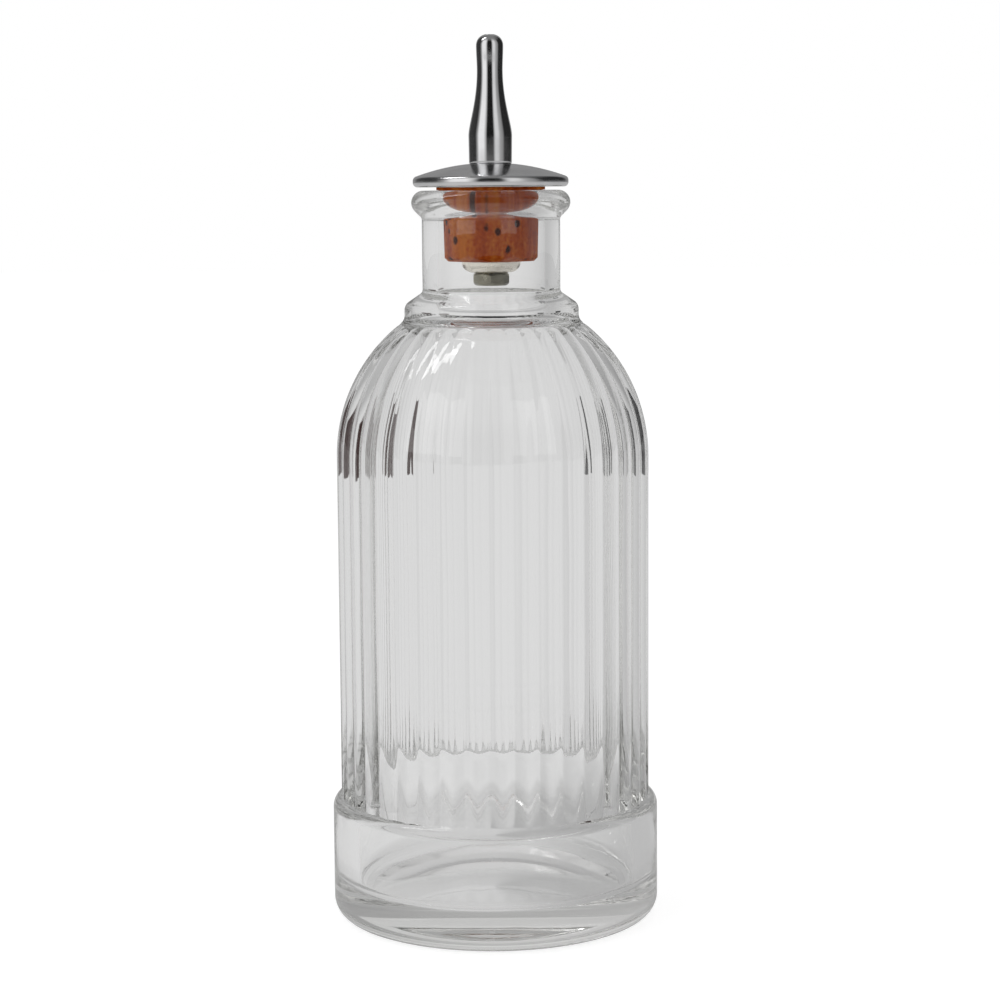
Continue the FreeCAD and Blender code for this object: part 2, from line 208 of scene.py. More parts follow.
class Lathe:
    """A geometry tree that turns the outline it is given. The radius, height and angle of each grid point
    are sockets that a piece's own rule can change before the tree is closed."""

    def __init__(self, name, **sizes):
        self.tree = tree = bpy.data.node_groups.new(name, "GeometryNodeTree")
        open_sockets(tree, "INPUT", "Geometry", "Outline")
        open_sockets(tree, "INPUT", "Material", "Finish")
        for label, value in {"Steps": LATHE_STEPS, **sizes}.items():
            kind = "Int" if isinstance(value, int) else "Float"
            open_sockets(tree, "INPUT", kind, spaced(label))[0].default_value = value
        open_sockets(tree, "OUTPUT", "Geometry", "Surface")
        self.inputs = add(tree, "NodeGroupInput").outputs
        rows = add(tree, "GeometryNodeAttributeDomainSize", component="MESH")
        feed(tree, rows.inputs[0], self.inputs["Outline"])
        grid = add(tree, "GeometryNodeMeshGrid")
        feed(tree, grid.inputs["Size X"], 1.0)
        feed(tree, grid.inputs["Size Y"], 1.0)
        feed(tree, grid.inputs["Vertices X"], calc(tree, "ADD", self.inputs["Steps"], 1.0))
        feed(tree, grid.inputs["Vertices Y"], rows.outputs["Point Count"])
        self.grid = grid.outputs["Mesh"]
        place = axes(tree, add(tree, "GeometryNodeInputPosition").outputs[0])
        across = calc(tree, "ADD", place["X"], 0.5)
        along = calc(tree, "ADD", place["Y"], 0.5)
        last_row = calc(tree, "SUBTRACT", rows.outputs["Point Count"], 1.0)
        self.column = calc(tree, "ROUND", calc(tree, "MULTIPLY", across, self.inputs["Steps"]))
        self.row = calc(tree, "ROUND", calc(tree, "MULTIPLY", along, last_row))
        point = axes(tree, self.look_up("FLOAT_VECTOR", "position"))
        self.radius, self.height = point["X"], point["Z"]
        turns = calc(tree, "DIVIDE", self.column, self.inputs["Steps"])
        self.angle = calc(tree, "MULTIPLY", turns, 2 * math.pi)

    def look_up(self, kind, name):
        """What the outline's point of this row holds under a name."""
        sample = add(self.tree, "GeometryNodeSampleIndex", data_type=kind)
        held = add(self.tree, "GeometryNodeInputNamedAttribute", data_type=kind)
        feed(self.tree, held.inputs["Name"], name)
        feed(self.tree, sample.inputs["Geometry"], self.inputs["Outline"])
        feed(self.tree, sample.inputs["Value"], held.outputs["Attribute"])
        feed(self.tree, sample.inputs["Index"], self.row)
        return sample.outputs["Value"]

    def calc(self, operation, *values):
        return calc(self.tree, operation, *values)

    def held(self, name):
        """A value that the surface holds under a name."""
        named = add(self.tree, "GeometryNodeInputNamedAttribute", data_type="FLOAT")
        feed(self.tree, named.inputs["Name"], name)
        return named.outputs["Attribute"]

    def hold(self, surface, **values):
        """The surface with values kept on its points under their names."""
        for name, value in values.items():
            surface = apply(self.tree, "GeometryNodeStoreNamedAttribute", surface, Name=name, Value=value)
        return surface

    def pattern(self, kind, scale, stretch):
        """A texture node over the surface's own coordinates."""
        place = add(self.tree, "ShaderNodeVectorMath", operation="MULTIPLY")
        feed(self.tree, place.inputs[0], add(self.tree, "GeometryNodeInputPosition").outputs[0])
        feed(self.tree, place.inputs[1], stretch)
        made = add(self.tree, kind)
        feed(self.tree, made.inputs["Vector"], place.outputs[0])
        feed(self.tree, made.inputs["Scale"], scale)
        return made

    def push(self, surface, height):
        """The surface moved along its normals."""
        move = add(self.tree, "ShaderNodeVectorMath", operation="SCALE")
        feed(self.tree, move.inputs[0], add(self.tree, "GeometryNodeInputNormal").outputs[0])
        feed(self.tree, move.inputs["Scale"], height)
        return apply(self.tree, "GeometryNodeSetPosition", surface, Offset=move.outputs[0])

    def turned(self, smooth=True, **values):
        """The grid with every point put in its place and welded."""
        grid = self.hold(self.grid, **values)
        place = add(self.tree, "ShaderNodeCombineXYZ")
        for axis, operation in (("X", "COSINE"), ("Y", "SINE")):
            share = self.calc(operation, self.angle)
            feed(self.tree, place.inputs[axis], self.calc("MULTIPLY", self.radius, share))
        feed(self.tree, place.inputs["Z"], self.height)
        surface = apply(self.tree, "GeometryNodeSetPosition", grid, Position=place.outputs[0])
        surface = apply(self.tree, "GeometryNodeMergeByDistance", surface, Distance=WELD)
        return apply(self.tree, "GeometryNodeSetShadeSmooth", surface, Shade_Smooth=smooth)

    def close(self, surface):
        """Ends the tree with the piece's finish."""
        surface = apply(self.tree, "GeometryNodeRealizeInstances", surface)
        surface = apply(self.tree, "GeometryNodeSetMaterial", surface, Material=self.inputs["Finish"])
        feed(self.tree, add(self.tree, "NodeGroupOutput").inputs[0], surface)
        return self.tree


# %% Helpers that turn a piece and put it in its place
def turn(name, tree, points, finish, marks=None, **sizes):
    """A plain mesh piece, turned by a lathe tree from an outline. Marks are values held by each point."""
    outline = bpy.data.meshes.new(name + "_outline")
    outline.from_pydata([(p.x, 0, p.y) for p in points], [(i, i + 1) for i in range(len(points) - 1)], [])
    for label, values in (marks or {}).items():
        outline.attributes.new(label, "FLOAT", "POINT").data.foreach_set("value", values)
    piece = bpy.data.objects.new(name, outline)
    scene.collection.objects.link(piece)
    lathe = piece.modifiers.new("lathe", "NODES")
    lathe.node_group = tree
    sockets = {item.name: item.identifier for item in tree.interface.items_tree if item.in_out == "INPUT"}
    for label, value in {"Finish": finish, **sizes}.items():
        lathe[sockets[spaced(label)]] = value
    made = piece.evaluated_get(bpy.context.evaluated_depsgraph_get())
    solid = bpy.data.meshes.new_from_object(made)
    piece.modifiers.remove(lathe)
    piece.data = solid
    solid.name = name
    edges = bmesh.new()
    edges.from_mesh(solid)
    loose = sum(not edge.is_manifold for edge in edges.edges)
    volume = edges.calc_volume() / MM ** 3
    edges.free()
    print("%s: %d faces, %d open edges, %.1f mm3" % (name, len(solid.polygons), loose, volume))
    return piece


def dress(piece, node, body):
    """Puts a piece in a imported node's place."""
    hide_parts(node)
    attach(piece, body)


# %% [markdown]
# ## Clear glass
#
# Bottle glass bends light at an index of about 1.5 and takes a little of it on a long way through, blue
# slightly more than the rest. A tinted surface would look the same however thick the glass is, so the
# colour sits in the volume. The skin from the mould is slightly uneven, so a faint bump and a very low,
# uneven roughness keep it from looking perfect.

# %% Helpers that build a finish
def new_material(name):
    """A material with an empty tree and its output."""
    material = bpy.data.materials.new(name)
    material.use_nodes = True
    material.node_tree.nodes.clear()
    return material, material.node_tree, add(material.node_tree, "ShaderNodeOutputMaterial")


def principled(name, **constants):
    """A material with one Principled shader, and what is the same all over set on its sockets."""
    material, tree, output = new_material(name)
    surface = add(tree, "ShaderNodeBsdfPrincipled")
    for label, value in constants.items():
        surface.inputs[spaced(label)].default_value = value
    tree.links.new(surface.outputs[0], output.inputs["Surface"])
    return material, tree, surface.inputs, output


def noise(tree, scale, stretch=(1, 1, 1), detail=2.0, roughness=0.5):
    """A noise pattern in the piece's own coordinates, as a value."""
    mapping = add(tree, "ShaderNodeMapping")
    feed(tree, mapping.inputs["Vector"], add(tree, "ShaderNodeTexCoord").outputs["Object"])
    feed(tree, mapping.inputs["Scale"], stretch)
    pattern = add(tree, "ShaderNodeTexNoise")
    feed(tree, pattern.inputs["Vector"], mapping.outputs["Vector"])
    feed(tree, pattern.inputs["Scale"], scale)
    feed(tree, pattern.inputs["Detail"], detail)
    feed(tree, pattern.inputs["Roughness"], roughness)
    return pattern.outputs["Fac"]


def between(tree, value, low, high, from_low=0.0, from_high=1.0):
    """A value spread from one range to another."""
    spread = add(tree, "ShaderNodeMapRange")
    for label, number in zip(("From Min", "From Max", "To Min", "To Max"), (from_low, from_high, low, high)):
        feed(tree, spread.inputs[label], number)
    feed(tree, spread.inputs["Value"], value)
    return spread.outputs["Result"]


def bump(tree, height, strength, distance):
    """A normal that follows a height."""
    made = add(tree, "ShaderNodeBump")
    feed(tree, made.inputs["Strength"], strength)
    feed(tree, made.inputs["Distance"], distance)
    feed(tree, made.inputs["Height"], height)
    return made.outputs["Normal"]


# %% The glass finish
GLASS_INDEX = 1.5
GLASS_TINT = (0.70, 0.70, 0.67, 1)
GLASS_DENSITY = 7
HAZE_SCALE = 60
HAZE_SPAN = (0.4, 0.8)
MOST_HAZE = 0.02
MOULD_SCALE = 140
MOULD_BUMP = 0.1
MOULD_RELIEF = 0.02 * MM


def clear_glass():
    """Clear glass with a mould's skin, and its colour in the volume."""
    material, tree, surface, output = principled(
        "bottle_glass", Base_Color=(1, 1, 1, 1), Transmission_Weight=1, IOR=GLASS_INDEX,
    )
    feed(tree, surface["Roughness"], between(tree, noise(tree, HAZE_SCALE), 0.0, MOST_HAZE, *HAZE_SPAN))
    feed(tree, surface["Normal"], bump(tree, noise(tree, MOULD_SCALE), MOULD_BUMP, MOULD_RELIEF))
    depth = add(tree, "ShaderNodeVolumeAbsorption")
    depth.inputs["Color"].default_value = GLASS_TINT
    depth.inputs["Density"].default_value = GLASS_DENSITY
    tree.links.new(depth.outputs[0], output.inputs["Volume"])
    return material


glass = clear_glass()
print("made", glass.name)

# %% [markdown]
# ## The glass bottle
#
# The mould gives the bottle a plain band at its foot, forty reeds that run up the body and over the domed
# shoulder, a collar ring, a plain neck and a bead round the mouth. Forty ribs could be modelled once and
# copied round, but they share one surface with the dome, so here a rule presses them into the turned
# form: across its width each reed falls away from its crest as a flat arc, and it ends in a round arch.

# %% Sizes of the glass
REEDS = 40
REED_STEPS = 12
REED_DEPTH = 0.45 * MM
REED_FADE = 2.0
REED_TURN = math.radians(-87.42)
REED_END_GAP = 1.35 * MM
BAND_STEP = 1.7 * MM
BAND_HEIGHT = 24.9 * MM
BAND_TOP_ROUND = 2.4 * MM
HEEL_ROUND = 4.0 * MM
CONTACT_RING = 3.5 * MM
PUNT_RISE = 2.0 * MM
BODY_TOP = 93.8 * MM
SHOULDER_RADIUS = 33.5 * MM
NECK_RADIUS = 13.75 * MM
NECK_HEIGHT = 20.1 * MM
COLLAR_REACH = 3.65 * MM
COLLAR_FOOT_ROUND = 2.0 * MM
COLLAR_SLOPE = 2.5 * MM
COLLAR_ROUND = 2.0 * MM
COLLAR_NECK_ROUND = 1.0 * MM
LIP_REACH = 2.05 * MM
LIP_ROUND = 2.4 * MM
LIP_FLANK = math.radians(45)
LIP_NECK_ROUND = 1.0 * MM
MOUTH_ROUND = 1.0 * MM
WALL = 3.1 * MM
FLOOR_THICKNESS = 7.4 * MM
FLOOR_CROWN = 1.0 * MM
FLOOR_ROUND = 2.4 * MM
NECK_WALL = 3.0 * MM
BORE_CHOKE = 1.1 * MM
CHOKE_HEIGHT = 4.4 * MM
CHOKE_EASE = 2.0 * MM
BORE_FOOT_ROUND = 3.0 * MM
SOFT_EDGE = 0.12 * MM

base_radius = glass_high.x
mouth_level = glass_high.z
body_radius = base_radius - BAND_STEP
collar_radius = NECK_RADIUS + COLLAR_REACH
lip_radius = NECK_RADIUS + LIP_REACH
bore_foot_radius = NECK_RADIUS - NECK_WALL
mouth_radius = bore_foot_radius - BORE_CHOKE
neck_level = mouth_level - NECK_HEIGHT
collar_edge = neck_level - COLLAR_SLOPE
dome_centre = Vector((body_radius - SHOULDER_RADIUS, BODY_TOP))
dome_sweep = math.acos((collar_radius - dome_centre.x) / SHOULDER_RADIUS)
fillet_reach = SHOULDER_RADIUS + COLLAR_FOOT_ROUND
fillet_angle = math.acos((collar_radius + COLLAR_FOOT_ROUND - dome_centre.x) / fillet_reach)
fillet_centre = around(dome_centre, fillet_reach, fillet_angle)
print("collar's edge at %.2f mm, mouth at %.2f mm" % (collar_edge / MM, mouth_level / MM))

# %% The outline of the glass, from under the foot, up the outside and down the inside
FOOT_STEP = math.radians(1.2)
FLOOR_STEP = FOOT_STEP / 3
DOME_STEP = math.radians(2.4)
DOME_TOP_STEP = math.radians(0.45)
INNER_DOME_STEP = 1.5 * DOME_STEP
WALL_RUNS = 18
CHOKE_RUNS = 16
BORE_RUNS = 6
REED_RUNS = 4


def foot_and_band():
    """From the middle of the punt to the top of the band."""
    ring = base_radius - HEEL_ROUND - CONTACT_RING
    punt = (ring ** 2 + PUNT_RISE ** 2) / (2 * PUNT_RISE)
    half = math.asin(ring / punt)
    points = arc((0, PUNT_RISE - punt), punt, UPRIGHT, UPRIGHT - half, FOOT_STEP)
    band_round = Vector((base_radius - BAND_TOP_ROUND, BAND_HEIGHT - BAND_TOP_ROUND))
    points += arc((base_radius - HEEL_ROUND, HEEL_ROUND), HEEL_ROUND, -UPRIGHT, 0)
    meet = math.acos((body_radius + SOFT_EDGE - band_round.x) / BAND_TOP_ROUND)
    return points + arc(band_round, BAND_TOP_ROUND, 0, meet)


def neck_outside():
    """From the foot of the collar, eased into the dome, to the top of the lip bead."""
    bead = Vector((lip_radius - LIP_ROUND, mouth_level - LIP_ROUND))
    bead_start = around(bead, LIP_ROUND, -LIP_FLANK)
    flank = (bead_start.x - NECK_RADIUS) / math.sin(LIP_FLANK)
    flank_foot = bead_start - Vector((math.sin(LIP_FLANK), math.cos(LIP_FLANK))) * flank
    points = arc(fillet_centre, COLLAR_FOOT_ROUND, fillet_angle + math.pi, math.pi)
    points += rounded([
        (collar_radius, fillet_centre.y, 0),
        (collar_radius, collar_edge, COLLAR_ROUND),
        (NECK_RADIUS, neck_level, COLLAR_NECK_ROUND),
        (*flank_foot, LIP_NECK_ROUND),
        (*bead_start, 0),
    ])
    return points + arc(bead, LIP_ROUND, -LIP_FLANK, UPRIGHT)


def inside():
    """From the mouth down the bore, the domed shoulder and the wall to the middle of the crowned floor."""
    inner_radius = body_radius - WALL
    dome = SHOULDER_RADIUS - WALL
    mouth = Vector((mouth_radius + MOUTH_ROUND, mouth_level - MOUTH_ROUND))
    foot_angle = math.acos((bore_foot_radius - dome_centre.x) / dome)
    bore_foot = around(dome_centre, dome, foot_angle)
    choke_top = Vector((mouth_radius, mouth.y))
    choke_foot = Vector((bore_foot_radius, mouth.y - CHOKE_HEIGHT))
    ease_up = Vector((0, CHOKE_EASE))
    way = (choke_foot - bore_foot).normalized()
    side = Vector((way.y, -way.x))
    ease = rounding_centre(bore_foot, way, side, BORE_FOOT_ROUND, dome_centre, dome + BORE_FOOT_ROUND)
    dome_end = bearing(ease - dome_centre)
    floor = (inner_radius ** 2 + FLOOR_CROWN ** 2) / (2 * FLOOR_CROWN)
    floor_centre = Vector((0, FLOOR_THICKNESS + FLOOR_CROWN - floor))
    wall_foot = Vector((inner_radius, 0))
    corner = rounding_centre(wall_foot, UP, INWARD, FLOOR_ROUND, floor_centre, floor + FLOOR_ROUND)
    floor_end = bearing(corner - floor_centre)
    points = arc(mouth, MOUTH_ROUND, UPRIGHT, math.pi)
    points += bezier(choke_top, choke_top - ease_up, choke_foot + ease_up, choke_foot, CHOKE_RUNS)
    points += run(choke_foot, ease - side * BORE_FOOT_ROUND, BORE_RUNS)
    points += arc(ease, BORE_FOOT_ROUND, bearing(-side) % (2 * math.pi), dome_end + math.pi)
    points += arc(dome_centre, dome, dome_end, 0, INNER_DOME_STEP)
    points += run((inner_radius, BODY_TOP), (inner_radius, corner.y), WALL_RUNS)
    points += arc(corner, FLOOR_ROUND, 0, floor_end - math.pi)
    return points + arc(floor_centre, floor, floor_end, UPRIGHT, FLOOR_STEP)


reed_end = dome_sweep - REED_END_GAP / SHOULDER_RADIUS
end_radius = around(dome_centre, SHOULDER_RADIUS, reed_end).x
arch = math.pi * end_radius / REEDS
arch_start = reed_end - arch / SHOULDER_RADIUS
lower = foot_and_band()
wall = run((body_radius, lower[-1].y + SOFT_EDGE), (body_radius, BODY_TOP), REED_RUNS)
dome = arc(dome_centre, SHOULDER_RADIUS, 0, arch_start, DOME_STEP)
dome += arc(dome_centre, SHOULDER_RADIUS, arch_start, fillet_angle, DOME_TOP_STEP)
reeded = thinned(wall + dome)
inner = thinned(inside())
glass_points = lower + reeded + thinned(neck_outside()) + inner
print(len(glass_points), "points in the outline of the glass")

# %% What each point of the outline holds: how deep the reeds are there, how far into an arch, how uneven
depths, arches, waves = [], [], []
for index, point in enumerate(glass_points):
    on_reeds = len(lower) <= index < len(lower) + len(reeded)
    depths.append(REED_DEPTH * (point.x / body_radius) ** REED_FADE if on_reeds else 0)
    rise = math.atan2(point.y - dome_centre.y, point.x - dome_centre.x)
    past = (rise - arch_start) * SHOULDER_RADIUS / arch
    arches.append(max(0, past) if on_reeds and point.y > BODY_TOP else 0)
    within = index >= len(glass_points) - len(inner) and point.y < collar_edge
    waves.append(1 if within else 0)
print(len(reeded), "points carry reeds and", sum(waves), "are uneven")

# %% The rule that presses the reeds
REED_POWER = 2.0
GROOVE_FLOOR = 0.86
GROOVE_SOFTNESS = 0.14
WAVE = 0.3 * MM
WAVE_SCALE = 70.0
WAVE_STRETCH = (1, 1, 0.4)


def reeded_glass():
    """A lathe whose steps crowd towards the grooves, with reeds pressed in and an uneven inside."""
    rule = Lathe("reeded_glass", Reeds=REEDS, Reed_Turn=0.0, Wave=0.0, Wave_Scale=1.0)
    reeds = rule.inputs["Reeds"]
    per_reed = rule.calc("DIVIDE", rule.inputs["Steps"], reeds)
    position = rule.calc("DIVIDE", rule.column, per_reed)
    reed = rule.calc("FLOOR", position)
    across = rule.calc("SUBTRACT", rule.calc("MULTIPLY", rule.calc("FRACT", position), 2.0), 1.0)
    offset = rule.calc("SINE", rule.calc("MULTIPLY", across, UPRIGHT))
    half_pitches = rule.calc("ADD", rule.calc("MULTIPLY", reed, 2.0), offset)
    pitch_angle = rule.calc("DIVIDE", math.pi, reeds)
    rule.angle = rule.calc("MULTIPLY_ADD", half_pitches, pitch_angle, rule.inputs["Reed Turn"])
    fall = rule.calc("POWER", rule.calc("ABSOLUTE", offset), REED_POWER)
    fall = rule.calc("ADD", fall, rule.calc("POWER", rule.look_up("FLOAT", "arch"), 2.0))
    fall = rule.calc("SMOOTH_MIN", fall, GROOVE_FLOOR, GROOVE_SOFTNESS)
    depth = rule.calc("MULTIPLY", fall, rule.look_up("FLOAT", "reed_depth"))
    rule.radius = rule.calc("SUBTRACT", rule.radius, depth)
    surface = rule.turned(wave=rule.look_up("FLOAT", "wave"))
    swell = rule.pattern("ShaderNodeTexNoise", rule.inputs["Wave Scale"], WAVE_STRETCH).outputs["Fac"]
    swell = rule.calc("MULTIPLY", rule.calc("SUBTRACT", swell, 0.5), rule.held("wave"))
    return rule.close(rule.push(surface, rule.calc("MULTIPLY", swell, rule.inputs["Wave"])))


bottle = turn(
    "glass_body", reeded_glass(), glass_points, glass,
    marks={"reed_depth": depths, "arch": arches, "wave": waves},
    Steps=REEDS * REED_STEPS, Reeds=REEDS, Reed_Turn=REED_TURN, Wave=WAVE, Wave_Scale=WAVE_SCALE,
)
dress(bottle, "glass_bottle", "bottle")

# %% [markdown]
# ## A skin for the metals
#
# Chrome plate, pressed sheet, turned brass and a dulled nut differ in colour and polish, but their skin is
# of one kind: it is smoother in one place than in another, it has a very fine relief, and handling has
# worn it in patches. Each metal could have a tree of its own, but one node group with named inputs keeps
# them alike and lets one change reach all of them.

# %% The shared skin
PATCH_SCALE = 160
PATCH_DETAIL = 4.0
PATCH_SPAN = (0.35, 0.65)
GRAIN_DETAIL = 3.0


def metal_skin():
    """A node group: how worn a patch is, how rough it is, and a fine relief."""
    tree = bpy.data.node_groups.new("metal_skin", "ShaderNodeTree")
    open_sockets(tree, "INPUT", "Float", "Grain Scale", "Least Roughness", "Most Roughness", "Relief")
    open_sockets(tree, "OUTPUT", "Float", "Wear", "Roughness")
    open_sockets(tree, "OUTPUT", "Vector", "Normal")
    given = add(tree, "NodeGroupInput").outputs
    result = add(tree, "NodeGroupOutput").inputs
    wear = between(tree, noise(tree, PATCH_SCALE, detail=PATCH_DETAIL), 0.0, 1.0, *PATCH_SPAN)
    grain = noise(tree, given["Grain Scale"], detail=GRAIN_DETAIL)
    feed(tree, result["Wear"], wear)
    feed(tree, result["Roughness"], between(tree, wear, given["Least Roughness"], given["Most Roughness"]))
    feed(tree, result["Normal"], bump(tree, grain, 1.0, given["Relief"]))
    return tree


skin = metal_skin()
print("made", skin.name)


# %% The metals that use it
def ramp(tree, value, *stops):
    """A colour that follows a value through (place, colour) stops."""
    made = add(tree, "ShaderNodeValToRGB")
    elements = made.color_ramp.elements
    elements[0].position, elements[1].position = stops[0][0], stops[-1][0]
    for place, _ in stops[1:-1]:
        elements.new(place)
    for element, (_, colour) in zip(elements, stops):
        element.color = (*colour, 1)
    feed(tree, made.inputs["Fac"], value)
    return made.outputs["Color"]


def metal(name, bright, worn, **look):
    """A metal with the shared skin, from its bright and worn colours."""
    material, tree, surface, _ = principled(name, Metallic=1)
    used = add(tree, "ShaderNodeGroup", node_tree=skin)
    for label, value in look.items():
        used.inputs[spaced(label)].default_value = value
    feed(tree, surface["Base Color"], ramp(tree, used.outputs["Wear"], (0, bright), (1, worn)))
    for label in ("Roughness", "Normal"):
        feed(tree, surface[label], used.outputs[label])
    return material


chrome = metal(
    "polished_chrome", bright=(0.88, 0.88, 0.89), worn=(0.80, 0.80, 0.81),
    Grain_Scale=900, Least_Roughness=0.06, Most_Roughness=0.12, Relief=0.0008 * MM,
)
satin_chrome = metal(
    "satin_chrome", bright=(0.84, 0.84, 0.85), worn=(0.74, 0.74, 0.75),
    Grain_Scale=900, Least_Roughness=0.14, Most_Roughness=0.24, Relief=0.0008 * MM,
)
nickel = metal(
    "pressed_nickel", bright=(0.95, 0.91, 0.83), worn=(0.86, 0.81, 0.71),
    Grain_Scale=1500, Least_Roughness=0.18, Most_Roughness=0.32, Relief=0.004 * MM,
)
dull_steel = metal(
    "dulled_nut", bright=(0.46, 0.44, 0.35), worn=(0.09, 0.085, 0.06),
    Grain_Scale=1800, Least_Roughness=0.18, Most_Roughness=0.4, Relief=0.006 * MM,
)
brass = metal(
    "turned_brass", bright=(0.70, 0.58, 0.36), worn=(0.55, 0.43, 0.24),
    Grain_Scale=1500, Least_Roughness=0.18, Most_Roughness=0.35, Relief=0.004 * MM,
)
print("metals", [item.name for item in (chrome, satin_chrome, nickel, dull_steel, brass)])

# %% [markdown]
# ## The chromed spout and its flange
#
# Both are turned from brass rod on a lathe and plated. The spout is a barrel that draws in to a waist and
# swells again to a bead round the small hole, so that it lets out drops and not a stream. The flange is a
# shallow dome with a rounded rim, and it covers the mouth. A lathe tree with no rule of its own makes
# both. No straight stretch of an outline is left long, because a mirror finish shows how normals turn.

# %% Sizes of the spout and the flange
STEM_HOLE = 2.05 * MM
SPOUT_FOOT_RADIUS = 4.23 * MM
SPOUT_FOOT_BEVEL = 0.25 * MM
BARREL_RADIUS = 4.31 * MM
BARREL_HEIGHT = 5.5 * MM
BARREL_EASE = 2.3 * MM
WAIST_RADIUS = 2.54 * MM
WAIST_HEIGHT = 18.4 * MM
WAIST_EASE = 6.2 * MM
BEAD_RADIUS = 2.68 * MM
BEAD_EASE = 1.5 * MM
TIP_ROUND = 2.15 * MM
SPOUT_BORE_RADIUS = 1.3 * MM
ORIFICE_RADIUS = 0.8 * MM
ORIFICE_LENGTH = 2.0 * MM
ORIFICE_EDGE = 0.15 * MM
RIM_HEIGHT = 1.9 * MM
RIM_ROUND = 0.893 * MM
FLANGE_DOME = 43.0 * MM
FLANGE_DOME_STEP = math.radians(0.5)
CHROME_STRETCH = 0.4 * MM
WAIST_RUNS = 32
BEAD_RUNS = 12
SPOUT_STEPS = 128
FLANGE_STEPS = 192

spout_low, spout_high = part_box("dasher_spout")
flange_low, flange_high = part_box("dasher_flange")
stem_low, stem_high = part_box("dasher_stem")
print("spout %.2f mm tall" % ((spout_high.z - spout_low.z) / MM))


# %% The outlines of the spout and the flange
def filled(points, longest):
    """The points with more between them, so that no stretch is longer than asked."""
    dense = [points[0]]
    for point in points[1:]:
        dense += run(dense[-1], point, max(1, math.ceil((point - dense[-1]).length / longest)))[1:]
    return dense


def spout_outline():
    """Under the foot, up the outside, over the tip and back down the bore."""
    barrel = Vector((BARREL_RADIUS, spout_low.z + BARREL_HEIGHT))
    waist = Vector((WAIST_RADIUS, spout_low.z + WAIST_HEIGHT))
    bead = Vector((BEAD_RADIUS, spout_high.z - TIP_ROUND))
    tip = bead + INWARD * TIP_ROUND
    throat = spout_high.z - ORIFICE_LENGTH
    points = rounded([
        (STEM_HOLE, spout_low.z, 0),
        (SPOUT_FOOT_RADIUS, spout_low.z, SPOUT_FOOT_BEVEL),
        (*barrel, 0),
    ])
    points += bezier(barrel, barrel + UP * BARREL_EASE, waist - UP * WAIST_EASE, waist, WAIST_RUNS)
    points += bezier(waist, waist + UP * BEAD_EASE, bead - UP * BEAD_EASE, bead, BEAD_RUNS)
    points += arc(tip, TIP_ROUND, 0, math.acos((ORIFICE_RADIUS + ORIFICE_EDGE - tip.x) / TIP_ROUND))
    points += rounded([
        (*points[-1], 0),
        (ORIFICE_RADIUS, spout_high.z, ORIFICE_EDGE),
        (ORIFICE_RADIUS, throat, ORIFICE_EDGE),
        (SPOUT_BORE_RADIUS, throat + ORIFICE_RADIUS - SPOUT_BORE_RADIUS, ORIFICE_EDGE),
        (SPOUT_BORE_RADIUS, stem_high.z, 0),
        (STEM_HOLE, stem_high.z, 0),
        (STEM_HOLE, spout_low.z, 0),
    ])
    return filled(thinned(points), CHROME_STRETCH)


def flange_outline():
    """Under the disc, round the rim, over the dome to the flat under the spout, and down the hole."""
    rim = Vector((flange_high.x, flange_low.z))
    flat_edge = Vector((SPOUT_FOOT_RADIUS, flange_high.z))
    rim_top = rim + UP * RIM_HEIGHT
    chord = flat_edge - rim_top
    outward = Vector((chord.y, -chord.x)).normalized()
    centre = (rim_top + flat_edge) / 2 - outward * math.sqrt(FLANGE_DOME ** 2 - chord.length_squared / 4)
    shoulder = rounding_centre(rim, UP, INWARD, RIM_ROUND, centre, FLANGE_DOME - RIM_ROUND)
    start, end = bearing(shoulder - centre), bearing(flat_edge - centre)
    points = [Vector((STEM_HOLE, flange_low.z))]
    points += arc(rim + INWARD * RIM_ROUND + UP * RIM_ROUND, RIM_ROUND, -UPRIGHT, 0)
    points += arc(shoulder, RIM_ROUND, 0, start)
    points += arc(centre, FLANGE_DOME, start, end, FLANGE_DOME_STEP)
    points += [Vector((STEM_HOLE, flange_high.z)), points[0]]
    return filled(thinned(points), CHROME_STRETCH)


# %% Turning the spout and the flange
plain_lathe = Lathe("plain_lathe")
plain_tree = plain_lathe.close(plain_lathe.turned())
spout = turn("spout", plain_tree, spout_outline(), chrome, Steps=SPOUT_STEPS)
flange = turn("flange", plain_tree, flange_outline(), satin_chrome, Steps=FLANGE_STEPS)
dress(spout, "dasher_spout", "dasher")
dress(flange, "dasher_flange", "dasher")

# %% [markdown]
# ## The cup washer, the nut and the stem
#
# Under the cork a washer pressed from sheet spreads the pull, and a hexagon nut draws the whole stopper
# together on a hollow stem. The nut is bar stock cut to a hexagon, so its rule is a lathe whose radius is
# held back by six flats. The stem's rule sinks a groove that climbs by one pitch in each turn: a real
# helix, which rings stacked on a rod would not be.

# %% Sizes of the washer, the nut and the stem
WASHER_SHEET = 0.7 * MM
WASHER_BOWL = 2.1 * MM
WASHER_STRETCH = 0.25 * MM
WASHER_EDGE = 0.15 * MM
WASHER_STEPS = 128
NUT_SIDES = 6
NUT_BEVEL = math.radians(38)
NUT_FACE_SHARE = 0.88
NUT_STRETCH = 0.08 * MM
NUT_STEPS = 96
STEM_BORE_RADIUS = 1.1 * MM
STEM_BEVEL = 0.35 * MM
STEM_STEPS = 48
THREAD_PITCH = 0.7 * MM
THREAD_DEPTH = 0.38 * MM
THREAD_RINGS = 9

washer_low, washer_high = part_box("cup_washer")
nut_low, nut_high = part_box("lock_nut")
flat_radius = nut_high.x
stem_radius = stem_high.x
print("nut %.2f mm across its flats" % (2 * flat_radius / MM))


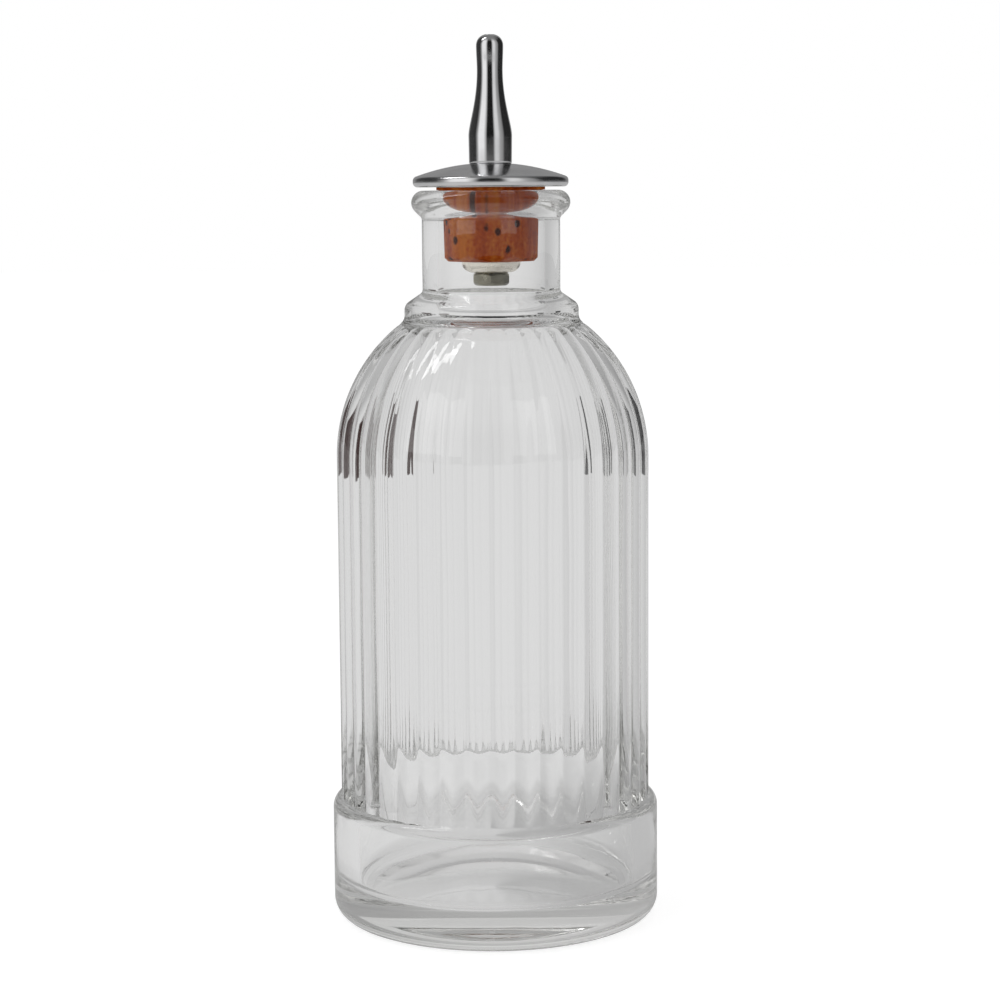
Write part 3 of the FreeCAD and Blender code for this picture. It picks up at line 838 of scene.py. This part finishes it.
# %% The outline of the washer, and the outline and rule of the nut
def washer_outline():
    """Under the floor, up the bowl to its rim, and back down inside."""
    wall, inner_wall = washer_high.x, washer_high.x - WASHER_SHEET
    floor = washer_low.z + WASHER_SHEET
    points = rounded([
        (STEM_HOLE, washer_low.z, 0),
        (wall, washer_low.z, WASHER_BOWL),
        (wall, washer_high.z, WASHER_EDGE),
        (inner_wall, washer_high.z, WASHER_EDGE),
        (inner_wall, floor, WASHER_BOWL - WASHER_SHEET),
        (STEM_HOLE, floor, 0),
        (STEM_HOLE, washer_low.z, 0),
    ])
    return filled(thinned(points), WASHER_STRETCH)


def nut_outline():
    """A double cone: the bevels of both faces, which the six flats cut off."""
    height = (nut_high.z - nut_low.z) / 2
    face = flat_radius * NUT_FACE_SHARE
    waist = face + height / math.tan(NUT_BEVEL)
    corners = [
        (STEM_HOLE, nut_low.z),
        (face, nut_low.z),
        (waist, nut_low.z + height),
        (face, nut_high.z),
        (STEM_HOLE, nut_high.z),
        (STEM_HOLE, nut_low.z),
    ]
    return filled([Vector(corner) for corner in corners], NUT_STRETCH)


def hexagon_nut():
    """A lathe whose radius stops at the flats of a prism, with a corner towards the front."""
    rule = Lathe("hexagon_nut", Sides=NUT_SIDES, Flat_Radius=0.0)
    sector = rule.calc("DIVIDE", 2 * math.pi, rule.inputs["Sides"])
    half_sector = rule.calc("DIVIDE", sector, 2.0)
    within = rule.calc("MODULO", rule.calc("ADD", rule.angle, half_sector), sector)
    lean = rule.calc("COSINE", rule.calc("SUBTRACT", within, half_sector))
    flat = rule.calc("DIVIDE", rule.inputs["Flat Radius"], lean)
    rule.radius = rule.calc("MINIMUM", rule.radius, flat)
    return rule.close(rule.turned(smooth=False))


# %% The outline and rule of the stem
def stem_outline():
    """Up the outside of the hollow stem and down its bore, and which points carry thread."""
    end = stem_radius - STEM_BEVEL
    rings = round((stem_high.z - stem_low.z) / THREAD_PITCH * THREAD_RINGS)
    side = run((stem_radius, stem_low.z + STEM_BEVEL), (stem_radius, stem_high.z - STEM_BEVEL), rings)
    foot = [Vector((STEM_BORE_RADIUS, stem_low.z)), Vector((end, stem_low.z))]
    top = [Vector((end, stem_high.z)), Vector((STEM_BORE_RADIUS, stem_high.z))]
    points = foot + side + top + foot[:1]
    return points, [float(len(foot) < index < len(side)) for index in range(len(points))]


def threaded_stem():
    """A lathe that sinks a groove whose place along the axis follows the turn."""
    rule = Lathe("threaded_stem", Pitch=1.0, Depth=0.0)
    turns = rule.calc("DIVIDE", rule.angle, 2 * math.pi)
    along = rule.calc("SUBTRACT", rule.calc("DIVIDE", rule.height, rule.inputs["Pitch"]), turns)
    wave = rule.calc("PINGPONG", rule.calc("MULTIPLY", along, 2.0), 1.0)
    groove = rule.calc("MULTIPLY", wave, rule.inputs["Depth"])
    groove = rule.calc("MULTIPLY", groove, rule.look_up("FLOAT", "thread"))
    rule.radius = rule.calc("SUBTRACT", rule.radius, groove)
    return rule.close(rule.turned())


# %% Making the washer, the nut and the stem
stem_points, threaded = stem_outline()
washer = turn("washer", plain_tree, washer_outline(), nickel, Steps=WASHER_STEPS)
nut = turn(
    "nut", hexagon_nut(), nut_outline(), dull_steel,
    Steps=NUT_STEPS, Sides=NUT_SIDES, Flat_Radius=flat_radius,
)
stem = turn(
    "stem", threaded_stem(), stem_points, brass, marks={"thread": threaded},
    Steps=STEM_STEPS, Pitch=THREAD_PITCH, Depth=THREAD_DEPTH,
)
dress(washer, "cup_washer", "dasher")
dress(nut, "lock_nut", "dasher")
dress(stem, "dasher_stem", "dasher")

# %% [markdown]
# ## The cork
#
# The cork is punched from bark with its grain along the axis, ground to a taper and squeezed into the
# neck, so that its head swells over the rounded mouth. Bark has pores, and the punch opens them as pits in
# the side. A bump map could darken them, but under clear glass their edges show, so the rule pushes real
# pits into the surface and keeps how deep each point lies. The finish reads that to paint shade into the
# pits, darker the deeper they go.

# %% Sizes and outline of the cork
CORK_GAP = 0.08 * MM
CORK_TAPER = 0.3 * MM
CORK_BEVEL = 0.7 * MM
CORK_BEVEL_RUNS = 6
CORK_RINGS = 96
CORK_STEPS = 400
CORK_STRETCH = 1.2 * MM
CORK_TURN = math.radians(30)
PLAIN_ROWS = 2

cork_low, cork_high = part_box("cork_stopper")
print("cork %.2f mm tall" % ((cork_high.z - cork_low.z) / MM))


def cork_outline():
    """Under the foot, up the tapered side, out over the mouth, and down the hole for the stem. The rows
    of the side, from a little above the foot, are open to pits."""
    swell = Vector((mouth_radius + MOUTH_ROUND, mouth_level - MOUTH_ROUND))
    reach = MOUTH_ROUND + CORK_GAP
    foot_radius = mouth_radius - CORK_GAP - CORK_TAPER
    foot = [Vector((STEM_HOLE, cork_low.z)), Vector((foot_radius - CORK_BEVEL, cork_low.z))]
    under = filled(foot, CORK_STRETCH)
    bevel = run(under[-1], (foot_radius, cork_low.z + CORK_BEVEL), CORK_BEVEL_RUNS)
    side = run(bevel[-1], swell + INWARD * reach, CORK_RINGS)
    head = arc(swell, reach, math.pi, UPRIGHT)
    head += [Vector((cork_high.x, head[-1].y)), Vector((cork_high.x, cork_high.z))]
    back = filled([head[-1], Vector((STEM_HOLE, cork_high.z)), under[0]], CORK_STRETCH)
    points = thinned(under + bevel + side + head + back)
    first = len(under) + PLAIN_ROWS
    open_side = range(first, first + CORK_RINGS + PLAIN_ROWS)
    return points, [float(index in open_side) for index in range(len(points))]


# %% The rule that opens the pits
PIT_DEPTH = 0.3 * MM
PIT_SCALE = 520.0
PIT_STRETCH = (1, 1, 0.7)
PIT_REACH = 0.36
PIT_SHARE = 0.36
PIT_POWER = 0.7


def pitted_cork():
    """A lathe that pushes pits into the side, each round the heart of a cell of a random pattern."""
    rule = Lathe("pitted_cork", Pit_Scale=1.0, Pit_Reach=0.3, Pit_Depth=0.0, Pit_Share=0.5)
    surface = rule.turned(open=rule.look_up("FLOAT", "open"))
    cells = rule.pattern("ShaderNodeTexVoronoi", rule.inputs["Pit Scale"], PIT_STRETCH).outputs
    chosen = rule.calc("LESS_THAN", axes(rule.tree, cells["Color"])["X"], rule.inputs["Pit Share"])
    out = rule.calc("DIVIDE", cells["Distance"], rule.inputs["Pit Reach"])
    pit = rule.calc("MAXIMUM", rule.calc("SUBTRACT", 1.0, out), 0.0)
    pit = rule.calc("POWER", rule.calc("MULTIPLY", pit, chosen), PIT_POWER)
    surface = rule.hold(surface, pit=rule.calc("MULTIPLY", pit, rule.held("open")))
    sunk = rule.calc("MULTIPLY", rule.held("pit"), rule.inputs["Pit Depth"])
    return rule.close(rule.push(surface, rule.calc("MULTIPLY", sunk, -1.0)))


# %% The bark finish
BARK_TONES = ((0.36, (0.33, 0.038, 0.003)), (0.47, (0.50, 0.085, 0.008)), (0.62, (0.72, 0.22, 0.035)))
BARK_SPECULAR = 0.05
FIGURE_SCALE = 260
FIGURE_STRETCH = (1, 1, 0.2)
FIGURE_DETAIL = 4.0
FIGURE_ROUGHNESS = 0.6
BARK_GRAIN_SCALE = 1500
BARK_GRAIN_SHARE = 0.25
BARK_GRAIN_SPAN = (0.3, 0.7)
BARK_ROUGHNESS = (0.7, 0.95)
BARK_BUMP = 0.6
BARK_RELIEF = 0.05 * MM
# Painted shade: the colour the pits are darkened towards, and the pit depths over which it comes in.
PAINTED_PIT_SHADE = (0.12, 0.08, 0.07, 1)
PAINTED_PIT_SHADE_SPAN = (0.05, 0.5)
# A Mix node has sockets of the same names for each kind of data, so those for colour go by number.
MIX_FACTOR, MIX_FIRST, MIX_SECOND, MIX_RESULT = 0, 6, 7, 2


def bark():
    """Streaked bark with a fine grain, with painted shade in the pits, darker the deeper they go."""
    material, tree, surface, _ = principled("cork_bark", Specular_IOR_Level=BARK_SPECULAR)
    figure = noise(tree, FIGURE_SCALE, FIGURE_STRETCH, FIGURE_DETAIL, FIGURE_ROUGHNESS)
    grain = noise(tree, BARK_GRAIN_SCALE, detail=GRAIN_DETAIL)
    figure_part = calc(tree, "MULTIPLY", figure, 1 - BARK_GRAIN_SHARE)
    tone = calc(tree, "MULTIPLY_ADD", grain, BARK_GRAIN_SHARE, figure_part)
    pit = add(tree, "ShaderNodeAttribute", attribute_name="pit").outputs["Fac"]
    # Painted shade in the pits: the bark is multiplied towards a dark colour by how deep each point lies.
    dark = add(tree, "ShaderNodeMix", data_type="RGBA", blend_type="MULTIPLY")
    feed(tree, dark.inputs[MIX_FACTOR], between(tree, pit, 0.0, 1.0, *PAINTED_PIT_SHADE_SPAN))
    feed(tree, dark.inputs[MIX_FIRST], ramp(tree, tone, *BARK_TONES))
    feed(tree, dark.inputs[MIX_SECOND], PAINTED_PIT_SHADE)
    feed(tree, surface["Base Color"], dark.outputs[MIX_RESULT])
    feed(tree, surface["Roughness"], between(tree, grain, *BARK_ROUGHNESS, *BARK_GRAIN_SPAN))
    feed(tree, surface["Normal"], bump(tree, grain, BARK_BUMP, BARK_RELIEF))
    return material


# %% Making the cork
cork_points, open_rows = cork_outline()
cork = turn(
    "cork", pitted_cork(), cork_points, bark(), marks={"open": open_rows},
    Steps=CORK_STEPS, Pit_Scale=PIT_SCALE, Pit_Reach=PIT_REACH, Pit_Depth=PIT_DEPTH, Pit_Share=PIT_SHARE,
)
cork.data.transform(Matrix.Rotation(CORK_TURN, 4, "Z"))
dress(cork, "cork_stopper", "cork")

# %% [markdown]
# ## The camera
#
# The photograph was taken from about half a metre away, level with the mouth and looking a little down. A
# Track To constraint could aim the camera at the bottle, but the picture is also turned very slightly, so
# three plain turns set it: down, aside and a small roll.

# %% The camera, as the photograph was taken
LENS = 92.5
SENSOR = 36.0
EYE_DISTANCE = 514 * MM
EYE_HEIGHT = 147.75 * MM
LOOK_DOWN = math.radians(7.0)
LOOK_ASIDE = math.radians(-0.156)
ROLL = math.radians(-0.42)
camera_data = bpy.data.cameras.new("camera")
camera_data.lens = LENS
camera_data.sensor_width = SENSOR
camera = bpy.data.objects.new("camera", camera_data)
scene.collection.objects.link(camera)
eye = Matrix.Translation((0, -EYE_DISTANCE, EYE_HEIGHT))
look = Matrix.Rotation(LOOK_ASIDE, 4, "Z") @ Matrix.Rotation(UPRIGHT - LOOK_DOWN, 4, "X")
camera.matrix_world = eye @ look @ Matrix.Rotation(ROLL, 4, "Z")
bpy.context.scene.camera = camera
print("camera %.0f mm away" % (EYE_DISTANCE / MM))

# %% [markdown]
# ## The room
#
# Clear glass has no colour of its own: it shows the room, bent. A room that is equally bright all round
# would leave the reeds almost unseen. Here it is a little dimmer towards the right, so each reed, which
# looks both ways at once, has a light flank and a darker one. A small node group works that out from a
# direction, and the world and the floor share it. Metal needs more contrast, so it sees a ring of light
# and dark stripes. Light Path tells these rays apart, and lets the camera see plain white instead.

# %% How bright the room is to the glass
GLASS_LEVEL = 0.72
RIGHT_SHARE = 0.7
RIGHT_SPAN = (0.05, 0.77)
WALL_SHARE = 0.66
WALL_SPAN = (0.1, 0.2)
OVERHEAD_SHARE = 1.5
OVERHEAD_SPAN = (0.3, 0.85)
FRONT_SHARE = 0.02
FRONT_SPAN = (-0.45, -0.1)
FRONT_TOP_SPAN = (0.3, 0.5)


def side_light():
    """A node group: how bright the room is in a direction, as a share. It is full low on the left, dimmer
    on the right and on the walls, and bright again overhead."""
    tree = bpy.data.node_groups.new("side_light", "ShaderNodeTree")
    open_sockets(tree, "INPUT", "Vector", "Direction")
    open_sockets(tree, "INPUT", "Float", "Right Share", "Wall Share", "Overhead Share")
    open_sockets(tree, "OUTPUT", "Float", "Share")
    given = add(tree, "NodeGroupInput").outputs
    way = add(tree, "ShaderNodeVectorMath", operation="NORMALIZE")
    feed(tree, way.inputs[0], given["Direction"])
    split = axes(tree, way.outputs[0])
    right = between(tree, split["X"], 1.0, given["Right Share"], *RIGHT_SPAN)
    wall = between(tree, split["Z"], 1.0, given["Wall Share"], *WALL_SPAN)
    overhead = between(tree, split["Z"], 1.0, given["Overhead Share"], *OVERHEAD_SPAN)
    share = calc(tree, "MULTIPLY", calc(tree, "MULTIPLY", right, wall), overhead)
    feed(tree, add(tree, "NodeGroupOutput").inputs["Share"], share)
    return tree


light = side_light()


def glass_sees(tree, direction):
    """How bright the room looks in a direction through glass."""
    used = add(tree, "ShaderNodeGroup", node_tree=light)
    feed(tree, used.inputs["Direction"], direction)
    for label, share in (("Right", RIGHT_SHARE), ("Wall", WALL_SHARE), ("Overhead", OVERHEAD_SHARE)):
        feed(tree, used.inputs[label + " Share"], share)
    return calc(tree, "MULTIPLY", used.outputs["Share"], GLASS_LEVEL)


def front_share(tree, direction):
    """Dims the camera's side of the room for the glass, so that the neck doesn't mirror it over the cork."""
    split = axes(tree, direction)
    front = between(tree, split["Y"], FRONT_SHARE, 1.0, *FRONT_SPAN)
    high = between(tree, split["Z"], 0.0, 1.0, *FRONT_TOP_SPAN)
    return calc(tree, "MULTIPLY_ADD", high, calc(tree, "SUBTRACT", 1.0, front), front)


print("the glass sees %.2f low on the left" % GLASS_LEVEL)

# %% How bright the room is to the metals: degrees from the front, towards the right, and a tone
RING_TOP = 0.2
RING_TOP_SPAN = (0.6, 0.95)
RING_TONES = (
    (-180, 0.28), (-152, 0.26), (-140, 0.05), (-86, 0.03), (-74, 0.30), (-63, 0.90), (-36, 0.92), (-25, 0.45),
    (-17, 0.01), (16, 0.01), (23, 0.45), (29, 0.74), (44, 0.70), (54, 0.38), (70, 0.26), (81, 0.02),
    (141, 0.02), (153, 0.26), (180, 0.28),
)


def ring_tone(tree, direction):
    """How bright the room looks in a direction to something shiny: soft stripes round it, even overhead."""
    split = axes(tree, direction)
    aside = calc(tree, "ARCTAN2", split["X"], calc(tree, "MULTIPLY", split["Y"], -1.0))
    stops = [(0.5 + degrees / 360, (tone,) * 3) for degrees, tone in RING_TONES]
    tone = ramp(tree, calc(tree, "MULTIPLY_ADD", aside, 0.5 / math.pi, 0.5), *stops)
    overhead = between(tree, split["Z"], 0.0, 1.0, *RING_TOP_SPAN)
    return calc(tree, "MULTIPLY_ADD", overhead, calc(tree, "SUBTRACT", RING_TOP, tone), tone)


# %% The world, for each kind of ray
CAMERA_LEVEL = 1.0
LAMP_LEVEL = 0.55
MOST_BOUNCES = 32
GLASS_BOUNCES = 32
SHINY_BOUNCES = 24


def levels(tree, camera_level, glass_level, shiny_level, rest):
    """One level for rays straight from the camera, out of glass, off a shiny surface, and for the rest."""
    path = add(tree, "ShaderNodeLightPath").outputs
    through = path["Is Transmission Ray"]
    shiny = calc(tree, "MULTIPLY", path["Is Glossy Ray"], calc(tree, "SUBTRACT", 1.0, through))
    level = calc(tree, "MULTIPLY_ADD", path["Is Camera Ray"], camera_level - rest, rest)
    level = calc(tree, "MULTIPLY_ADD", through, calc(tree, "SUBTRACT", glass_level, rest), level)
    return calc(tree, "MULTIPLY_ADD", shiny, calc(tree, "SUBTRACT", shiny_level, rest), level)


def white_room():
    """A world that is white to the camera and lights the bottle evenly."""
    world = bpy.data.worlds.new("white_room")
    world.use_nodes = True
    world.node_tree.nodes.clear()
    tree = world.node_tree
    sky = add(tree, "ShaderNodeBackground")
    sky.inputs["Color"].default_value = (1, 1, 1, 1)
    way = add(tree, "ShaderNodeTexCoord").outputs["Generated"]
    through = calc(tree, "MULTIPLY", glass_sees(tree, way), front_share(tree, way))
    seen = levels(tree, CAMERA_LEVEL, through, ring_tone(tree, way), LAMP_LEVEL)
    feed(tree, sky.inputs["Strength"], seen)
    tree.links.new(sky.outputs[0], add(tree, "ShaderNodeOutputWorld").inputs["Surface"])
    return world


scene.world = white_room()
scene.view_settings.view_transform = "Standard"
scene.cycles.max_bounces = MOST_BOUNCES
scene.cycles.glossy_bounces = SHINY_BOUNCES
scene.cycles.transmission_bounces = GLASS_BOUNCES
print("made", scene.world.name)

# %% [markdown]
# ## The floor
#
# The bottle stands on a plain pale floor. It takes the bottle's shadow as matt paint does, and it also
# glows a little for the camera, so that it meets the white background without a line. Glass sees it as
# bright as the room in the same direction, so that no horizon cuts through the bottle, with a painted
# shadow that makes it a little dimmer right under it.

# %% The floor
FLOOR_SIZE = 8.0
FLOOR_COLOUR = (0.8, 0.8, 0.8, 1)
FLOOR_GLOW = 1.6
GLOW_SHARE = 0.5
FLOOR_SHINY_GLOW = 0.5
# Painted shadow: how dim the floor's glow is for the glass right under the bottle, and where it fades out.
PAINTED_SHADOW_SHARE = 0.85
PAINTED_SHADOW_SPAN = (0.036, 0.06)


def pale_floor():
    """Matt paint that glows a little for the camera, the metals and the glass, with a painted shadow in
    the glow that the glass sees right under the bottle.
    """
    material, tree, output = new_material("pale_floor")
    matt = add(tree, "ShaderNodeBsdfDiffuse")
    matt.inputs["Color"].default_value = FLOOR_COLOUR
    place = add(tree, "ShaderNodeTexCoord").outputs["Object"]
    away = add(tree, "ShaderNodeVectorMath", operation="LENGTH")
    feed(tree, away.inputs[0], place)
    # Painted shadow: the glow that the glass sees is dimmer close to the bottle's foot.
    under = between(tree, away.outputs["Value"], PAINTED_SHADOW_SHARE, 1.0, *PAINTED_SHADOW_SPAN)
    seen = calc(tree, "MULTIPLY", glass_sees(tree, place), under)
    glow = add(tree, "ShaderNodeEmission")
    feed(tree, glow.inputs["Strength"], levels(tree, FLOOR_GLOW, seen, FLOOR_SHINY_GLOW, 0.0))
    mix = add(tree, "ShaderNodeMixShader")
    feed(tree, mix.inputs["Fac"], levels(tree, GLOW_SHARE, 1.0, GLOW_SHARE, 0.0))
    tree.links.new(matt.outputs[0], mix.inputs[1])
    tree.links.new(glow.outputs[0], mix.inputs[2])
    tree.links.new(mix.outputs[0], output.inputs["Surface"])
    return material


def staged(name, corners, finish):
    """A flat sheet that isn't part of the object."""
    mesh = bpy.data.meshes.new(name)
    mesh.from_pydata(corners, [], [(0, 1, 2, 3)])
    mesh.materials.append(finish)
    made = bpy.data.objects.new(name, mesh)
    scene.collection.objects.link(made)
    return made


reach = FLOOR_SIZE / 2
floor_corners = [(-reach, -reach, 0), (reach, -reach, 0), (reach, reach, 0), (-reach, reach, 0)]
staged("floor", floor_corners, pale_floor())
print("floor %.0f m wide" % FLOOR_SIZE)

# %% [markdown]
# ## Lamps and flags
#
# Two tall softboxes light the front from both sides, and a small lamp above draws the glint on the
# shoulder. The dark streaks there could be painted, but they have to move with the view as reflections do.
# So small dark cards, called flags, stand close behind the shoulder for the glass alone, and the reeds
# bend them into streaks.

# %% Helpers that place lamps and flags
FLAG_DISTANCE = 0.13
FLAG_FOOT = 0.076


def stand(degrees, distance, height):
    """The place at an angle from the front, towards the right, and at a height."""
    aside = math.radians(degrees)
    return Vector((distance * math.sin(aside), -distance * math.cos(aside), height))


def flag(name, first, last, top, colour):
    """A flat sheet that only rays out of glass see. It faces the bottle and fills the angles from first to
    last, in degrees from the front, and looks the same in any light."""
    middle = math.radians((first + last) / 2)
    half = FLAG_DISTANCE * math.tan(math.radians((last - first) / 2))
    material, tree, output = new_material(name + "_paint")
    glow = add(tree, "ShaderNodeEmission")
    glow.inputs["Color"].default_value = (*colour, 1)
    tree.links.new(glow.outputs[0], output.inputs["Surface"])
    sides, heights = (-half, half, half, -half), (FLAG_FOOT, FLAG_FOOT, top, top)
    made = staged(name, [(side, -FLAG_DISTANCE, height) for side, height in zip(sides, heights)], material)
    made.data.transform(Matrix.Rotation(middle, 4, "Z"))
    for kind in ("camera", "diffuse", "shadow", "glossy"):
        setattr(made, "visible_" + kind, False)


def lamp(name, place, width, tall, level, aim, mirrored=False):
    """An area lamp that shines at a height on the axis, as bright to look into as its level."""
    data = bpy.data.lights.new(name, "AREA")
    data.shape = "ELLIPSE" if mirrored else "RECTANGLE"
    data.size, data.size_y = width, tall
    data.energy = level * math.pi * width * tall
    made = bpy.data.objects.new(name, data)
    made.location = place
    made.rotation_euler = (Vector((0, 0, aim)) - place).to_track_quat("-Z", "Y").to_euler()
    made.visible_glossy = mirrored
    scene.collection.objects.link(made)


# %% The lamps and flags
SOFTBOX_DISTANCE = 0.8
SOFTBOX_HEIGHT = 0.5
SOFTBOX_TALL = 0.71
# Each softbox: its name, degrees from the front, width and level.
SOFTBOXES = (("left_softbox", -50, 0.58, 1.35), ("right_softbox", 35.5, 0.44, 1.1))
KEY_PLACE = Vector((-0.49, 0.0, 0.87))
KEY_WIDTH = 0.13
KEY_TALL = 0.5
KEY_LEVEL = 4.0
# Each flag: its name, the degrees from the front where it starts and ends, its top and its colour.
FLAGS = (
    ("left_flag", -156, -125, 0.109, (0.04, 0.02, 0.018)),
    ("right_flag", 134, 152, 0.112, (0.03, 0.03, 0.03)),
)
for name, degrees, width, level in SOFTBOXES:
    place = stand(degrees, SOFTBOX_DISTANCE, SOFTBOX_HEIGHT)
    lamp(name, place, width, SOFTBOX_TALL, level, SOFTBOX_HEIGHT)
lamp("key_lamp", KEY_PLACE, KEY_WIDTH, KEY_TALL, KEY_LEVEL, BODY_TOP, mirrored=True)
for one in FLAGS:
    flag(*one)
